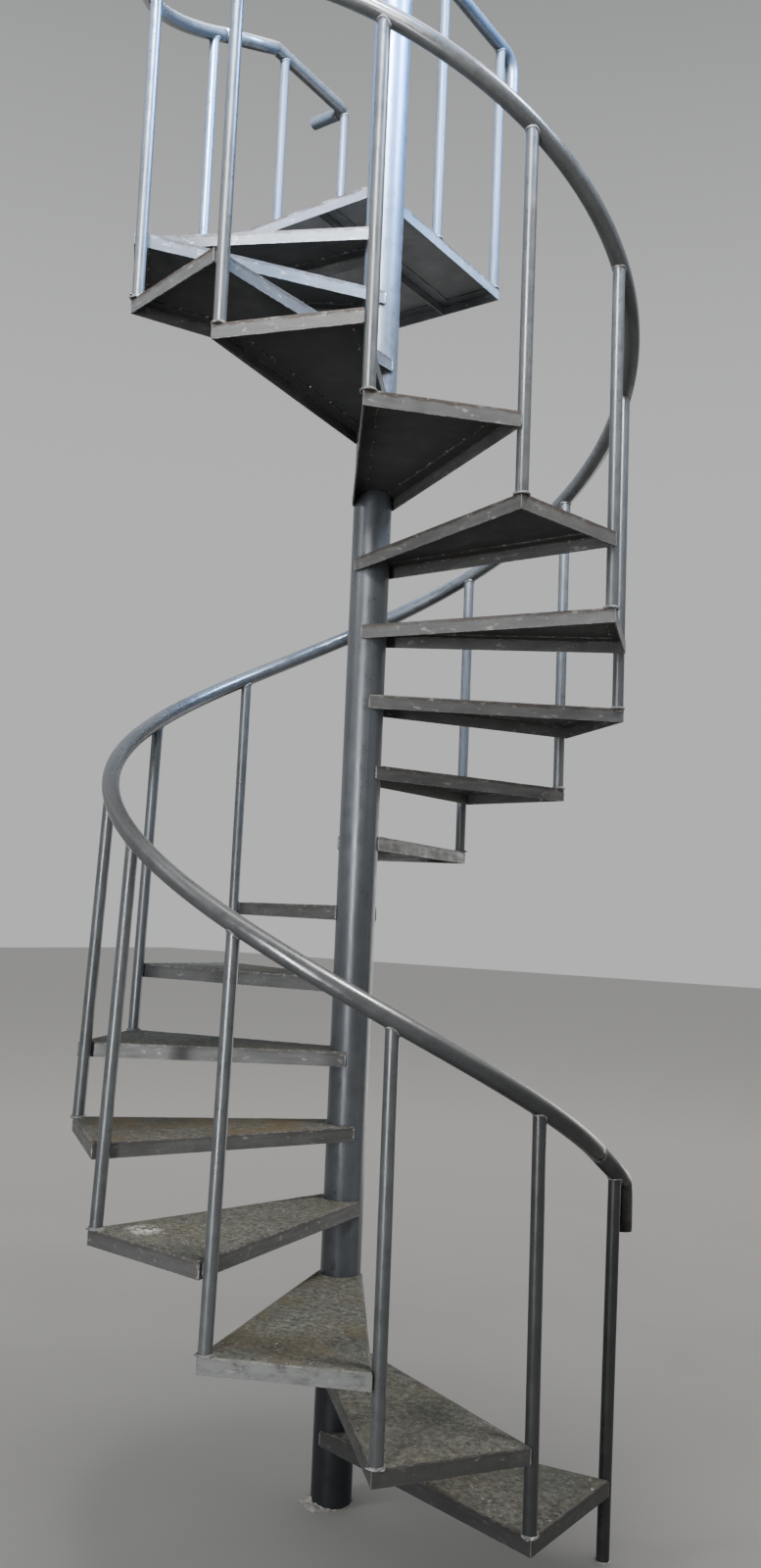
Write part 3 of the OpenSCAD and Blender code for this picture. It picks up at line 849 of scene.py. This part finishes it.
def weld_treads():
    for part, ks in THIRDS:
        w = Beads(31 + len(part))
        for k in ks:
            top = k * RISER - FRAME_DOWN
            for sgn in (-1, 1):
                # upright bead where each side bar meets the pole
                beta = tread_angle(k) + sgn * FLARE
                nrm = Vector((-math.sin(beta), math.cos(beta), 0)) * sgn
                at = nrm * (POLE_R + 0.0022) + round_about(beta, 0.011)
                w.line(at + UP * (top - LEG + 0.002), at + UP * (top - LEG_T), POLE_BEAD)
                at = tread_point(k, 0.0, sgn * half_at(0.0), 0) - nrm * 0.003
                w.line(at + UP * (top - LEG + 0.002), at + UP * (top - 0.002), BAR_BEAD)
                # mitred outer corner
                at = tread_point(k, REACH - 0.0004, sgn * (HALF_OUT - 0.0004), 0)
                w.line(at + UP * (top - LEG + 0.001), at + UP * (top - 0.001), MITRE_BEAD,
                       step=0.0022, sides=6)
                # tacks of plate to bar along the level leg's inner edge
                for i in range(TACKS):
                    x = TACK_FROM + i * TACK_STEP + w.rnd.uniform(-TACK_SHIFT, TACK_SHIFT)
                    w.blob(tread_point(k, x, sgn * half_at(x, LEG + 0.0006), top - LEG_T * 0.25), TACK, -UP)
            for y in (-TACK_SPREAD, 0.0, TACK_SPREAD):
                y += w.rnd.uniform(-TACK_SHIFT, TACK_SHIFT)
                w.blob(tread_point(k, REACH - LEG - 0.0006, y, top - LEG_T * 0.25), TACK, -UP)
        w.make("welds_treads_" + part)


def weld_landing():
    w = Beads(71)
    left = [(LEFT_X, BEND_Y + POST_PAST), (LEFT_X, LAST_Y)]
    right = [(RIGHT_X, LAND_Y0 + POST_RIGHT), (RIGHT_X, LAST_Y)]
    for x, y in left + right:
        w.run(circle((x, y), BAL_R + 0.0018, FOOT_CUTS, TOP - COAT + 0.0014), FOOT_BEAD, closed=True)
        seam = saddle(Vector((x, y, TOP)), Vector((x, y, GUARD_Z)), Vector((0, 1, 0)))
        w.run(seam, SADDLE_BEAD, closed=True)
    # rail joints: ground butt welds that still show as low rings
    joints = (
        (TAIL_START, TAIL_WAY),
        (rail_point(COIL_TO), rail_way(COIL_TO)),
        (RAIL_END, Vector((-1, 0, 0))))
    for c, t in joints:
        w.run(ring(c, t, UP, RAIL_R - 0.0009, 72), BUTT_BEAD, closed=True)
    w.run(circle((0, 0), POLE_R - 0.0006, 150, TOP + POLE_ABOVE), CAP_BEAD, closed=True)
    w.make("welds_landing")


# Mortar at the feet: a thin smear all round, thrown up higher on the side towards the stair's entry
def foot_ring(name, c, r_in, smear, lump, height, heap, seed):
    verts, faces = [], []
    n, m = 120, 9
    for i in range(n):
        a = 2 * math.pi * i / n
        d = round_about(a)
        side = max(0.0, math.cos(a - heap)) ** 3
        wob = 1 + 0.5 * noise.noise(d * 2.7 + Vector((seed, 0, 0)))
        wob += 0.35 * noise.noise(d * 9 + Vector((seed, 3, 0)))
        wide = (smear + lump * side) * max(wob, 0.15)
        tall = height * (0.18 + 0.82 * side) * max(wob, 0.15)
        for j in range(m):
            u = j / (m - 1)
            p = Vector((c[0], c[1], 0)) + d * (r_in + wide * u)
            z = tall * (1 - u) ** 1.3 * (0.8 + 0.7 * noise.noise(p * 60)) + 0.0012 * noise.noise(p * 170)
            verts.append((p.x, p.y, max(z, 0.0002) if j < m - 1 else 0.0))
    for i in range(n):
        for j in range(m - 1):
            a, b = i * m + j, ((i + 1) % n) * m + j
            faces.append((a, b, b + 1, a + 1))
    return piece(name, verts, faces, MORTAR)


def lay_mortar():
    foot_ring("pole_mortar", (0, 0), POLE_R - 0.001, smear=0.009, lump=0.026, height=0.017,
              heap=math.radians(-118), seed=1.7)
    foot_ring("newel_mortar", post_line(0)[0], BAL_R - 0.0005, smear=0.003, lump=0.003, height=0.002,
              heap=math.radians(-60), seed=5.2)


# Stage
def lay_floor():
    fm, T, fb, pos = new_material("pale_floor")
    near = T.mix(T.patches(pos, 1.1, 0.3, 0.7, 3.0, 0.5), (0.60, 0.59, 0.575), (0.64, 0.63, 0.615))
    spot = T.t.nodes.new("ShaderNodeVectorMath")
    spot.operation = "LENGTH"
    T.put(spot, 0, pos)
    T.put(fb, "Base Color", T.mix(T.ramp(spot.outputs["Value"], 1.5, 7.0), near, (0.90, 0.875, 0.83)))
    fb.inputs["Roughness"].default_value = 0.75
    me = bpy.data.meshes.new("floor")
    far = FLOOR_HALF
    me.from_pydata([(-far, -far, 0), (far, -far, 0), (far, far, 0), (-far, far, 0)], [], [(0, 1, 2, 3)])
    me.materials.append(fm)
    floor = bpy.data.objects.new("floor", me)
    scene.collection.objects.link(floor)
    return floor


def light_world():
    world = bpy.data.worlds.new("studio")
    scene.world = world
    world.use_nodes = True
    bg = world.node_tree.nodes["Background"]
    T = Tree(world.node_tree)
    sky = T.split(world.node_tree.nodes.new("ShaderNodeTexCoord").outputs["Generated"])[2]
    T.put(bg, "Color", T.mix(T.ramp(sky, 0.30, 0.95), (0.56, 0.565, 0.565), (0.13, 0.135, 0.14)))


def area(name, at, target, size, power, color, size_y, spread=180.0):
    li = bpy.data.lights.new(name, "AREA")
    li.spread = math.radians(spread)
    li.energy = power
    li.color = color
    li.shape = "RECTANGLE"
    li.size = size
    li.size_y = size_y
    ob = bpy.data.objects.new(name, li)
    scene.collection.objects.link(ob)
    ob.location = at
    ob.rotation_euler = (Vector(target) - Vector(at)).to_track_quat("-Z", "Y").to_euler()
    ob.visible_camera = False
    return ob


def light_stair(floor):
    area("overhead", (0.2, 0.2, 8.8), (0, 0, 3.0), 3.6, 225, (1.0, 0.975, 0.93), 3.6)
    area("key_left", (-2.4, -4.2, 4.2), (0, 0, 1.8), 1.1, 39, (0.98, 0.985, 1.0), 2.0)
    accents = (
        area("front_high", (1.6, -2.9, 7.4), (-0.15, 0.0, 4.9), 1.2, 245, (1.0, 0.98, 0.95), 1.2, 44.0),
        area("front_top", (1.2, -3.8, 4.9), (-0.2, -0.2, 4.8), 1.2, 120, (1.0, 0.98, 0.95), 1.2, 72.0),
        area("sky_front", (1.15, -1.6, 6.0), (0.0, 0.0, 4.4), 2.2, 108, (0.15, 0.45, 1.0), 0.8, 54.0),
        area("sky_right", (1.9, 0.6, 5.9), (-0.2, 0.2, 4.4), 1.2, 100, (0.24, 0.52, 1.0), 1.2, 50.0),
        area("rail_strip", (2.7, 0.2, 6.0), (0.1, -0.6, 1.7), 0.9, 26, (1.0, 0.98, 0.95), 0.9, 50.0),
        area("pipe_strip", (0.9, -4.3, 1.7), (0.2, 0, 1.7), 0.5, 42, (0.98, 0.985, 1.0), 2.4, 80.0),
        area("back_fill", (0.4, 4.4, 1.2), (0.0, 0.0, 2.8), 3.0, 52, (1.0, 0.98, 0.95), 2.4))
    # The accents shine on the stair alone, so the floor stays plain
    unlit = bpy.data.collections.new("unlit_by_accents")
    unlit.objects.link(floor)
    for light in accents:
        light.light_linking.receiver_collection = unlit
    unlit.collection_objects[0].light_linking.link_state = "EXCLUDE"


def place_camera():
    cam = bpy.data.cameras.new("camera")
    cam.sensor_fit = "AUTO"
    cam.sensor_width = SENSOR
    cam.lens = FOCUS_PX * SENSOR / PHOTO_H
    cam.clip_end = 100
    co = bpy.data.objects.new("camera", cam)
    scene.collection.objects.link(co)
    R = Matrix.Identity(3)
    for angle, axis in ((YAW, "Z"), (PITCH, "X"), (ROLL, "Y")):
        R = R @ Matrix.Rotation(math.radians(angle), 3, axis)
    right, ahead, up = R.col[0], R.col[1], R.col[2]
    rows = [(right[i], up[i], -ahead[i], CAMERA_AT[i]) for i in range(3)]
    co.matrix_world = Matrix((*rows, (0, 0, 0, 1)))
    scene.camera = co


dress_nodes()
sweep_rails()
lay_coats()
weld_balusters()
weld_treads()
weld_landing()
lay_mortar()
light_world()
light_stair(lay_floor())
place_camera()
